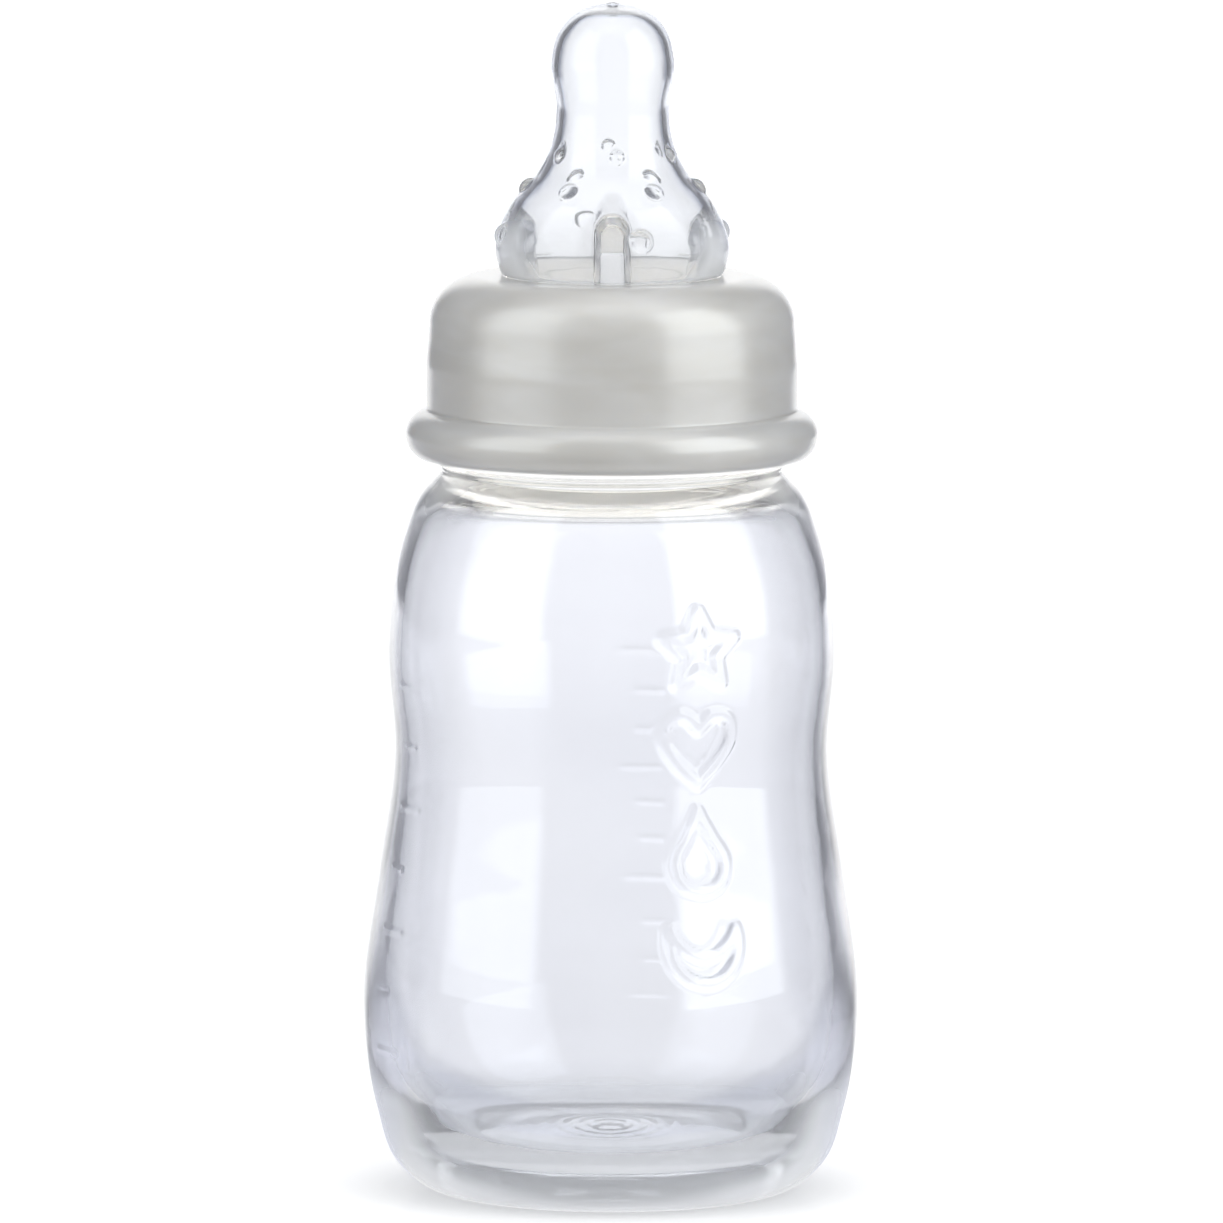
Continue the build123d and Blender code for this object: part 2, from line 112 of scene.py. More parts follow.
def smooth(points, start, end, step):
    """Points about `step` apart on a curve of one cubic per span, leaving and arriving along directions."""
    nodes = np.array(points, float)
    chords = np.diff(nodes, axis=0)
    lengths = np.linalg.norm(chords, axis=1)
    ways = [unit(np.array(start, float))]
    for i in range(len(chords) - 1):
        ways.append(unit(unit(chords[i]) * lengths[i + 1] + unit(chords[i + 1]) * lengths[i]))
    ways.append(unit(np.array(end, float)))
    out = [nodes[0]]
    for i, length in enumerate(lengths):
        a, d = nodes[i], nodes[i + 1]
        b, c = a + ways[i] * length / 3, d - ways[i + 1] * length / 3
        pace = step((a + d) / 2) if callable(step) else step
        count = max(1, math.ceil(length / pace))
        for k in range(1, count + 1):
            t = k / count
            out.append(a * (1 - t) ** 3 + 3 * b * t * (1 - t) ** 2 + 3 * c * t * t * (1 - t) + d * t**3)
    return np.array(out)


def line(a, b, step=1e9):
    count = max(1, math.ceil(math.dist(a, b) / step))
    return np.array([np.array(a) + (np.array(b) - np.array(a)) * k / count for k in range(count + 1)], float)


def arc(centre, radius, start_deg, end_deg, count):
    t = np.radians(np.linspace(start_deg, end_deg, count + 1))
    return np.column_stack([centre[0] + radius * np.cos(t), centre[1] + radius * np.sin(t)])


def chain(*parts):
    """Outline pieces end to end, with their shared ends once."""
    rows = [parts[0]]
    for part in parts[1:]:
        rows.append(part[1:] if np.linalg.norm(part[0] - rows[-1][-1]) < 1e-4 else part)
    return np.vstack(rows)


def softened(points, corner=0.12):
    """An outline whose sharp corners are cut by a small round of three points."""
    out = [points[0]]
    for before, here, after in zip(points[:-2], points[1:-1], points[2:]):
        u, v = unit(before - here), unit(after - here)
        if u @ v > -0.8:
            reach = min(corner, np.linalg.norm(before - here) * 0.4, np.linalg.norm(after - here) * 0.4)
            out += [here + u * reach, here + (u + v) * reach * 0.28, here + v * reach]
        else:
            out.append(here)
    out.append(points[-1])
    return np.array(out)


def outline_normals(points, closed):
    """Unit normals to the right of an outline's run."""
    if closed:
        along = np.roll(points, -1, axis=0) - np.roll(points, 1, axis=0)
    else:
        along = np.gradient(points, axis=0)
    along /= np.linalg.norm(along, axis=1)[:, None]
    return np.column_stack([along[:, 1], -along[:, 0]])


def lathe(name, points, angles, closed=False, relief=None):
    """A mesh turned about Z from an outline of (radius, height) in mm, run with its outside on the right.

    An open outline starts and ends on the axis. relief(angles, points) gives a rise along the normal
    for each point and angle.
    """
    normals = outline_normals(points, closed)
    theta = np.radians(angles)
    ring, rows = len(angles), len(points)
    grid = np.zeros((rows, ring, 3))
    rise = relief(np.asarray(angles), points) if relief else np.zeros((rows, ring))
    r = points[:, 0][:, None] + normals[:, 0][:, None] * rise
    z = points[:, 1][:, None] + normals[:, 1][:, None] * rise
    grid[..., 0], grid[..., 1], grid[..., 2] = r * np.cos(theta), r * np.sin(theta), z
    verts = grid.reshape(-1, 3)
    i, j = np.meshgrid(np.arange(rows if closed else rows - 1), np.arange(ring), indexing="ij")
    below, above = i, (i + 1) % rows
    side = (j + 1) % ring
    faces = np.stack([below * ring + j, below * ring + side, above * ring + side, above * ring + j], -1)
    faces = faces.reshape(-1, 4)
    if not closed:
        keep = (faces[:, 0] // ring > 0) & (faces[:, 3] // ring < rows - 1)
        faces = faces[keep]
        bottom, top = len(verts), len(verts) + 1
        verts = np.vstack([verts, [[0, 0, points[0, 1]], [0, 0, points[-1, 1]]]])
        ends = []
        for k in range(ring):
            n = (k + 1) % ring
            ends.append((bottom, ring + n, ring + k))
            ends.append((top, (rows - 2) * ring + k, (rows - 2) * ring + n))
        all_faces = [tuple(f) for f in faces.tolist()] + ends
        used = np.zeros(len(verts), bool)
        for f in all_faces:
            used[list(f)] = True
        new = np.cumsum(used) - 1
        verts = verts[used]
        all_faces = [tuple(int(new[v]) for v in f) for f in all_faces]
    else:
        all_faces = [tuple(f) for f in faces.tolist()]
    mesh = bpy.data.meshes.new(name)
    mesh.from_pydata((verts * MM).tolist(), [], all_faces)
    mesh.update()
    mesh.polygons.foreach_set("use_smooth", [True] * len(mesh.polygons))
    obj = bpy.data.objects.new(name, mesh)
    bpy.context.scene.collection.objects.link(obj)
    return obj


def angle_columns(coarse, patches):
    """Angles round the axis in degrees: `coarse` apart, and finer inside patches of (from, to, apart)."""
    angles = []
    here = patches[0][0]
    stop = here + 360.0
    spans = []
    for k, (low, high, apart) in enumerate(patches):
        spans.append((low, high, apart))
        nxt = patches[k + 1][0] if k + 1 < len(patches) else stop
        spans.append((high, nxt, coarse))
    for low, high, apart in spans:
        count = max(1, round((high - low) / apart))
        angles += [low + (high - low) * i / count for i in range(count)]
    return np.array(angles)


def turned_by(angles, middle):
    """Signed angle from `middle`, -180 to 180."""
    return (angles - middle + 180.0) % 360.0 - 180.0


def ease(x):
    x = np.clip(x, 0.0, 1.0)
    return x * x * (3 - 2 * x)


def distance_to_path(u, v, path, closed=True):
    """Distance in the (u, v) plane to a polyline."""
    best = np.full(u.shape, 1e9)
    ends = np.roll(path, -1, axis=0) if closed else path[1:]
    for a, b in zip(path, ends):
        ab = b - a
        t = np.clip(((u - a[0]) * ab[0] + (v - a[1]) * ab[1]) / max(ab @ ab, 1e-12), 0, 1)
        best = np.minimum(best, np.hypot(u - a[0] - t * ab[0], v - a[1] - t * ab[1]))
    return best


def helix_rise(angles, heights, radius, top, turns, top_angle):
    """Rise of a round-ended thread ridge over a cylinder, for each height and angle."""
    start = top_angle - turns * 360.0
    z = heights[:, None]
    a = angles[None, :]
    nearest = np.full((len(heights), len(angles)), 1e9)
    for lap in range(-3, 5):
        phi = (a - start) % 360.0 + 360.0 * lap
        clipped = np.clip(phi, 0, turns * 360.0)
        across = np.radians(phi - clipped) * radius
        centre = top - (turns - clipped / 360.0) * PITCH
        nearest = np.minimum(nearest, np.hypot(across, z - centre))
    return THREAD_DEPTH * ease((THREAD_ROOT + 0.05 - nearest) / (THREAD_ROOT - THREAD_CREST + 0.1))


# ---------------------------------------------------------------- bottle

def mirrored(half):
    left = half[1:-1][::-1] * [-1, 1]
    return np.vstack([half, left])


def motif_paths():
    """Middle lines of a star, a heart, a drop and a crescent moon, in mm about their middles."""
    tips = [(4.9, 2.45)[i % 2] for i in range(10)]
    star = np.array([(-tip * math.sin(i * math.pi / 5), tip * math.cos(i * math.pi / 5))
                     for i, tip in enumerate(tips)])
    heart = mirrored(smooth([(0, -4.4), (2.8, -1.6), (4.4, 1.2), (3.9, 3.4), (2.2, 4.0), (0, 2.3)],
                            (0.9, 1), (-1, -1), 0.6))
    drop = mirrored(smooth([(0, -4.8), (2.4, -3.8), (3.2, -1.3), (1.7, 1.6), (0, 4.9)],
                           (1, 0), (-0.3, 1), 0.6))
    moon = mirrored(chain(
        smooth([(0, -4.4), (2.6, -3.5), (4.2, -1.2), (4.2, 2.0)], (1, 0), (-0.3, 1), 0.6),
        smooth([(4.2, 2.0), (2.3, -0.4), (0, -1.2)], (-0.4, -1), (-1, 0), 0.6)))
    return [star, heart, drop, moon]


DIGIT_STROKES = {  # plain numerals on a 2 by 3.4 mm field
    "0": [[(1.0, 0), (1.9, 0.7), (1.9, 2.7), (1.0, 3.4), (0.1, 2.7), (0.1, 0.7), (1.0, 0)]],
    "1": [[(0.5, 2.7), (1.2, 3.4), (1.2, 0)]],
    "2": [[(0.1, 2.6), (0.6, 3.3), (1.5, 3.3), (1.9, 2.5), (0.1, 0), (1.9, 0)]],
    "3": [[(0.1, 3.0), (1.0, 3.4), (1.8, 2.8), (0.9, 1.8), (1.9, 1.0), (1.0, 0), (0.1, 0.4)]],
    "4": [[(1.5, 0), (1.5, 3.4), (0.1, 1.1), (1.9, 1.1)]],
    "6": [[(1.7, 3.1), (1.0, 3.4), (0.1, 2.2), (0.1, 0.8), (1.0, 0), (1.9, 0.9), (1.0, 1.9), (0.2, 1.2)]],
    "9": [[(0.3, 0.3), (1.0, 0), (1.9, 1.2), (1.9, 2.6), (1.0, 3.4), (0.1, 2.5), (1.0, 1.5), (1.8, 2.2)]],
}


def scale_relief(angles, points, scale, labels, gap, rise_mm):
    """Ticks, and a plain number `gap` past an end of each long one: the start, or the end if below 0."""
    start, first, step, count, per_long = scale
    off = turned_by(angles, start)[None, :]
    r, z = points[:, 0][:, None], points[:, 1][:, None]
    u = r * np.radians(off)
    rise = np.zeros((len(points), len(angles)))
    for i in range(count):
        length = TICK_LONG if i % per_long == 0 else TICK_SHORT
        height = first + i * step
        du = np.maximum(np.maximum(TICK_END - u, u - length + TICK_END), 0)
        d = np.hypot(du, z - height)
        rise = np.maximum(rise, rise_mm * ease((0.45 - d) / 0.4))
    for k, label in enumerate(labels):
        height = first + k * per_long * step
        width = DIGIT_ADVANCE * len(label)
        for n, digit in enumerate(label):
            # seen from outside the text runs towards larger angles, as +X does from the front
            left = (-gap - width if gap > 0 else TICK_LONG - gap) + DIGIT_ADVANCE * n
            for stroke in DIGIT_STROKES[digit]:
                path = np.array(stroke) * DIGIT_SIZE + [left, height - DIGIT_DROP]
                d = distance_to_path(u, np.broadcast_to(z, u.shape), path, closed=False)
                rise = np.maximum(rise, 0.75 * rise_mm * ease((0.42 - d) / 0.4))
    return rise


def make_bottle():
    def pace(middle):
        return 0.34 if 13 < middle[1] < 79 else 0.8

    under = smooth([(GATE_RADIUS, PUSH_UP), (10.0, 1.5), (FOOT_INNER_RADIUS, 0.0)], (1, 0), (1, -0.35), 0.9)
    gate = softened(np.array([(0, PUSH_UP - GATE_DEPTH), (GATE_RADIUS, PUSH_UP - GATE_DEPTH),
                              (GATE_RADIUS, PUSH_UP), (GATE_RADIUS + 0.3, PUSH_UP)]), 0.1)[:-1]
    outside = smooth(BODY_OUTSIDE, (1, 0), (-0.6, 1), pace)
    ledge = chain(
        line((BODY_TOP_RADIUS, BODY_TOP_HEIGHT), (LEDGE_RADIUS, BODY_TOP_HEIGHT + 0.15)),
        line((LEDGE_RADIUS, BODY_TOP_HEIGHT + 0.15), (LEDGE_RADIUS, LEDGE_HEIGHT - LEDGE_ROUND), 0.3),
        arc((LEDGE_RADIUS - LEDGE_ROUND, LEDGE_HEIGHT - LEDGE_ROUND), LEDGE_ROUND, 0, 90, 4),
        line((LEDGE_RADIUS - LEDGE_ROUND, LEDGE_HEIGHT), (NECK_RADIUS, LEDGE_HEIGHT), 0.7))
    inside = smooth(BODY_INSIDE, (0.8, -0.6), (-1, 0), 1.3)
    rim_side = RIM_HEIGHT - RIM_ROUND
    points = chain(
        gate, under, line((FOOT_INNER_RADIUS, 0), (FOOT_RADIUS, 0), 0.7), outside, ledge,
        line((NECK_RADIUS, LEDGE_HEIGHT), (NECK_RADIUS, NECK_THREAD_FROM), 1.2),
        line((NECK_RADIUS, NECK_THREAD_FROM), (NECK_RADIUS, NECK_THREAD_TO), 0.26),
        line((NECK_RADIUS, NECK_THREAD_TO), (NECK_RADIUS, rim_side), 0.8),
        arc((NECK_RADIUS - RIM_ROUND, rim_side), RIM_ROUND, 0, 90, 4),
        line((NECK_RADIUS - RIM_ROUND, RIM_HEIGHT), (NECK_BORE_RADIUS + RIM_ROUND, RIM_HEIGHT), 0.5),
        arc((NECK_BORE_RADIUS + RIM_ROUND, rim_side), RIM_ROUND, 90, 180, 4),
        line((NECK_BORE_RADIUS, rim_side), (NECK_BORE_RADIUS, NECK_BORE_FOOT), 3.0),
        inside,
        line((GATE_RADIUS, FLOOR_HEIGHT), (0, FLOOR_HEIGHT), 0.8))
    outer_rows = len(gate) + len(under) + len(outside) + 1
    paths = motif_paths()

    def relief(angles, pts):
        rise = np.zeros((len(pts), len(angles)))
        body = slice(0, outer_rows)
        r, z = pts[body, 0][:, None], pts[body, 1][:, None]
        off = turned_by(angles, MOTIF_ANGLE)[None, :]
        u = np.where(np.abs(off) < 60, r * np.sin(np.radians(off)), 1e3)
        raised = np.zeros(u.shape)
        for path, height in zip(paths, MOTIF_HEIGHTS):
            rows = np.abs(z[:, 0] - height) < MOTIF_REACH
            if rows.any():
                up = np.broadcast_to(z[rows] - height, u[rows].shape)
                d = distance_to_path(u[rows], up, path)
                raised[rows] = np.maximum(raised[rows], MOTIF_RISE * ease((MOTIF_EDGE - d) / MOTIF_SLOPE))
        for scale, labels, gap, high in ((ML_SCALE, ML_LABELS, ML_GAP, ML_RISE),
                                         (OUNCE_SCALE, OUNCE_LABELS, OUNCE_GAP, OUNCE_RISE)):
            raised = np.maximum(raised, scale_relief(angles, pts[body], scale, labels, gap, high))
        on_body = (z > MARKS_FROM) & (z < MARKS_TO)
        rise[body] = raised * on_body
        neck = np.abs(pts[:, 0] - NECK_RADIUS) < 0.01
        neck &= (pts[:, 1] > NECK_THREAD_FROM) & (pts[:, 1] < NECK_THREAD_TO)
        rise[neck] += helix_rise(angles, pts[neck, 1], NECK_RADIUS, BOTTLE_THREAD_TOP,
                                 BOTTLE_THREAD_TURNS, FRONT)
        return rise

    # finer columns under the motifs and the two scales
    angles = angle_columns(3.0, [(-84.0, -50.0, 0.68), (52.0, 88.0, 0.9), (197.0, 219.0, 0.8)])
    return lathe("bottle_shell", points, angles, relief=relief)


# ---------------------------------------------------------------- collar

def make_collar():
    ceiling = RIM_HEIGHT + FLANGE_THICKNESS
    dome_r, dome_z = COLLAR_SHOULDER_RADIUS - COLLAR_DOME, COLLAR_TOP - COLLAR_DOME
    meet = math.degrees(math.acos((COLLAR_WALL_RADIUS - BEAD_CENTRE) / BEAD_RADIUS))
    bead_top = BEAD_HEIGHT + BEAD_RADIUS * math.sin(math.radians(meet))
    fillet_height = bead_top + BEAD_FILLET_RISE
    bottom = BEAD_HEIGHT - BEAD_RADIUS
    corner_side = COLLAR_CORNER_RADIUS + COLLAR_CORNER
    outline = chain(
        line((COLLAR_BORE_RADIUS + SKIRT_CHAMFER, bottom), (BEAD_CENTRE, bottom), 0.5),
        arc((BEAD_CENTRE, BEAD_HEIGHT), BEAD_RADIUS, -90, meet - 6, 28),
        arc((COLLAR_WALL_RADIUS + BEAD_FILLET, fillet_height), BEAD_FILLET, 238, 180, 4),
        line((COLLAR_WALL_RADIUS, fillet_height), (COLLAR_WALL_RADIUS, COLLAR_STRAIGHT_TOP), 0.45),
        line((COLLAR_WALL_RADIUS, COLLAR_STRAIGHT_TOP), (COLLAR_SHOULDER_RADIUS, dome_z), 0.45),
        arc((dome_r, dome_z), COLLAR_DOME, 0, 90, 20),
        line((dome_r, COLLAR_TOP), (COLLAR_HOLE_RADIUS + COLLAR_LIP, COLLAR_TOP), 0.6),
        arc((COLLAR_HOLE_RADIUS + COLLAR_LIP, COLLAR_TOP - COLLAR_LIP), COLLAR_LIP, 90, 180, 5),
        line((COLLAR_HOLE_RADIUS, COLLAR_TOP - COLLAR_LIP), (COLLAR_HOLE_RADIUS, ceiling + 0.1), 0.7),
        line((COLLAR_HOLE_RADIUS, ceiling + 0.1), (COLLAR_HOLE_RADIUS + 0.1, ceiling)),
        line((COLLAR_HOLE_RADIUS + 0.1, ceiling), (COLLAR_CORNER_RADIUS, ceiling), 1.0),
        arc((COLLAR_CORNER_RADIUS, ceiling - COLLAR_CORNER), COLLAR_CORNER, 90, 0, 6),
        line((corner_side, ceiling - COLLAR_CORNER), (COLLAR_BORE_RADIUS, COLLAR_BORE_TOP), 1.0),
        line((COLLAR_BORE_RADIUS, COLLAR_BORE_TOP), (COLLAR_BORE_RADIUS, COLLAR_THREAD_TO), 0.7),
        line((COLLAR_BORE_RADIUS, COLLAR_THREAD_TO), (COLLAR_BORE_RADIUS, COLLAR_THREAD_FROM), 0.28),
        line((COLLAR_BORE_RADIUS, COLLAR_THREAD_FROM), (COLLAR_BORE_RADIUS, bottom + SKIRT_CHAMFER), 0.7))
    # screwed down, the collar's thread lies in the groove of the neck's and ends where it will let go
    low_end = BOTTLE_THREAD_TOP - TURNS_TO_OPEN * PITCH - PITCH / 2
    top = low_end + COLLAR_THREAD_TURNS * PITCH
    top_angle = FRONT + (COLLAR_THREAD_TURNS - TURNS_TO_OPEN) * 360.0

    def relief(angles, pts):
        rise = np.zeros((len(pts), len(angles)))
        bore = np.abs(pts[:, 0] - COLLAR_BORE_RADIUS) < 0.01
        bore &= (pts[:, 1] > COLLAR_THREAD_FROM) & (pts[:, 1] < COLLAR_THREAD_TO)
        rise[bore] += helix_rise(angles, pts[bore, 1], COLLAR_BORE_RADIUS, top,
                                 COLLAR_THREAD_TURNS, top_angle)
        # the wall draws in a little, unevenly, over the thread inside it
        wall = (pts[:, 0] > COLLAR_SHOULDER_RADIUS - 0.05) & (pts[:, 1] > bead_top + 0.5)
        z = pts[wall, 1][:, None]
        a = np.radians(angles)[None, :]
        fade = ease((z - bead_top - 0.5) / 1.5) * ease((dome_z - z) / 1.5)
        sink = 0.5 + 0.5 * np.cos(2 * math.pi * (z - WALL_SINK_HEIGHT) / PITCH - a)
        uneven = 0.5 + 0.5 * np.sin(3 * a + 0.7 * z) * np.sin(2 * a - 0.31 * z + 1.0)
        rise[wall] -= (WALL_SINK * sink * (0.4 + 0.6 * uneven)) * fade
        return rise

    angles = np.arange(240) * 1.5 + 0.3
    return lathe("collar_ring", outline, angles, closed=True, relief=relief)


# ---------------------------------------------------------------- teat

def at_height(curve, height):
    """The curve's point at a height, and its outward normal."""
    normals = outline_normals(curve, False)
    z = curve[:, 1]
    k = int(np.argmax(z >= height))
    t = (height - z[k - 1]) / (z[k] - z[k - 1])
    point = curve[k - 1] * (1 - t) + curve[k] * t
    return point, unit(normals[k - 1] * (1 - t) + normals[k] * t)


def make_teat():
    fine = smooth(TEAT_OUTSIDE, (0.35, 1), (-1, 0), 0.05)

    def pace(middle):
        return 0.24 if middle[1] < 130 else 0.5

    outside = smooth(TEAT_OUTSIDE, (0.35, 1), (-1, 0), pace)
    inset = []
    for height, wall in reversed(TEAT_WALL):
        point, normal = at_height(fine, height)
        inset.append(tuple(point - wall * normal))
    inside = smooth([(FLOW_HOLE, TEAT_TOP - TIP_WALL)] + inset + [(TEAT_BASE_BORE, COLLAR_TOP - 0.5)],
                    (1, 0), (-0.1, -1), lambda m: 0.34 if m[1] < 124 else 0.7)
    flange_top = RIM_HEIGHT + FLANGE_THICKNESS
    groove = COLLAR_HOLE_RADIUS - RUNNING_CLEARANCE
    lip = COLLAR_TOP + TEAT_LIP_GAP
    base = softened(np.array([(13.5, RIM_HEIGHT), (FLANGE_RADIUS, RIM_HEIGHT), (FLANGE_RADIUS, flange_top),
                              (groove, flange_top), (groove, lip), (TEAT_LIP_RADIUS - 0.2, lip), outside[0],
                              outside[1]]), 0.15)[1:-1]
    base = chain(line((TEAT_BASE_BORE + 0.6, RIM_HEIGHT), (14.0, RIM_HEIGHT), 0.7), base)
    points = chain(
        base, outside[1:], line((FLOW_HOLE, TEAT_TOP), (FLOW_HOLE, TEAT_TOP - TIP_WALL), 0.3), inside,
        line((TEAT_BASE_BORE, COLLAR_TOP - 0.5), (TEAT_BASE_BORE + 0.57, RIM_HEIGHT + 0.2), 0.34))
    outer = slice(len(base), len(base) + len(outside) - 1)
    inner = slice(outer.stop + 3, len(points))
    nubs = [(at_height(fine, height)[0], edge, rise, angle)
            for height, edge, rise, count, first in NUB_ROWS
            for angle in [first + k * 360.0 / count for k in range(count)]]

    def relief(angles, pts):
        out = np.zeros((len(pts), len(angles)))
        skin = pts[outer]
        field = np.zeros((len(skin), len(angles)))
        for point, edge, rise, angle in nubs:
            along = np.hypot(skin[:, 0] - point[0], skin[:, 1] - point[1])[:, None]
            across = skin[:, 0][:, None] * np.radians(turned_by(angles, angle))[None, :]
            d = np.hypot(along, across)
            ball = (edge**2 + rise**2) / (2 * rise)
            cap = np.sqrt(np.maximum(ball**2 - d**2, 0)) - (ball - rise)
            field = np.maximum(field, np.where(d < edge + 0.05, np.maximum(cap, 0), 0))
        out[outer] = field
        # ribs: the inner skin steps in towards the axis, by the gap between it and the rib's face
        skin = pts[inner]
        normals = outline_normals(pts, True)[inner]
        field = np.zeros((len(skin), len(angles)))
        gap = np.maximum(skin[:, 0] - RIB_INNER, 0) * np.minimum(1, 1 / np.maximum(-normals[:, 0], 0.5))
        for k in range(RIB_COUNT):
            off = turned_by(angles, FRONT + 360.0 / RIB_COUNT * k)
            across = skin[:, 0][:, None] * np.sin(np.radians(off))[None, :]
            near = np.abs(off)[None, :] < 180.0 / RIB_COUNT
            side = ease((RIB_WIDTH / 2 + 0.15 - np.abs(across)) / 0.5) * near
            crown = RIB_TOP - RIB_CROWN * (np.abs(across) / (RIB_WIDTH / 2)) ** 2.5
            top = ease((crown + 0.2 - skin[:, 1][:, None]) / 0.9)
            foot = ease((skin[:, 1][:, None] - RIM_HEIGHT - 0.2) / 1.2)
            field = np.maximum(field, gap[:, None] * side * top * foot)
        out[inner] = field
        return out

    angles = np.arange(330) * (360.0 / 330) + 0.4
    return lathe("teat_silicone", points, angles, closed=True, relief=relief)


# ---------------------------------------------------------------- materials, in metres

FLOOR_RING_STEP = 0.001904  # from ring to ring on the floor inside the bottle


class Nodes:
    """A short way to write node trees."""

    def __init__(self, tree):
        self.tree = tree
        tree.nodes.clear()

    def add(self, kind, **values):
        node = self.tree.nodes.new(kind)
        for key, value in values.items():
            if key.startswith("in_"):
                node.inputs[key[3:].replace("_", " ")].default_value = value
            else:
                setattr(node, key, value)
        return node

    def link(self, source, target):
        self.tree.links.new(source, target)

    def math(self, operation, a, b=None, c=None, clamp=False):
        node = self.add("ShaderNodeMath", operation=operation, use_clamp=clamp)
        for socket, value in zip(node.inputs, (a, b, c)):
            if value is None:
                continue
            if isinstance(value, (int, float)):
                socket.default_value = value
            else:
                self.link(value, socket)
        return node.outputs[0]

    def ramp(self, source, low, high, to_low=0.0, to_high=1.0, kind="SMOOTHSTEP"):
        node = self.add("ShaderNodeMapRange", interpolation_type=kind)
        self.link(source, node.inputs["Value"])
        node.inputs["From Min"].default_value = low
        node.inputs["From Max"].default_value = high
        node.inputs["To Min"].default_value = to_low
        node.inputs["To Max"].default_value = to_high
        return node.outputs[0]

    def noise(self, coords, scale, detail=2.0, roughness=0.5, distortion=0.0):
        node = self.add("ShaderNodeTexNoise", in_Scale=scale, in_Detail=detail, in_Roughness=roughness,
                        in_Distortion=distortion)
        self.link(coords, node.inputs["Vector"])
        return node.outputs["Fac"]

    def mix(self, factor, a, b):
        node = self.add("ShaderNodeMix", data_type="RGBA")
        for socket, value in ((node.inputs[0], factor), (node.inputs[6], a), (node.inputs[7], b)):
            if isinstance(value, (int, float)):
                socket.default_value = value
            elif isinstance(value, tuple):
                socket.default_value = (*value, 1.0)
            else:
                self.link(value, socket)
        return node.outputs[2]

    def place(self, coords):
        """x, y and z, and the distance from the Z axis."""
        split = self.add("ShaderNodeSeparateXYZ")
        self.link(coords, split.inputs[0])
        x, y, z = split.outputs
        squares = self.math("ADD", self.math("MULTIPLY", x, x), self.math("MULTIPLY", y, y))
        return x, y, z, self.math("POWER", squares, 0.5)

    def bump(self, height, shader, strength, distance):
        node = self.add("ShaderNodeBump", in_Strength=strength, in_Distance=distance)
        self.link(height, node.inputs["Height"])
        self.link(node.outputs[0], shader.inputs["Normal"])

    def stretch(self, coords, scale):
        node = self.add("ShaderNodeMapping")
        node.inputs["Scale"].default_value = scale
        self.link(coords, node.inputs["Vector"])
        return node.outputs[0]


def settle(shader, **values):
    for key, value in values.items():
        shader.inputs[key.replace("_", " ")].default_value = value


def material(name, build):
    made = bpy.data.materials.new(name)
    made.use_nodes = True
    nodes = Nodes(made.node_tree)
    out = nodes.add("ShaderNodeOutputMaterial")
    shader = nodes.add("ShaderNodeBsdfPrincipled")
    nodes.link(shader.outputs[0], out.inputs["Surface"])
    where = nodes.add("ShaderNodeTexCoord").outputs["Object"]
    build(nodes, shader, where)
    return made


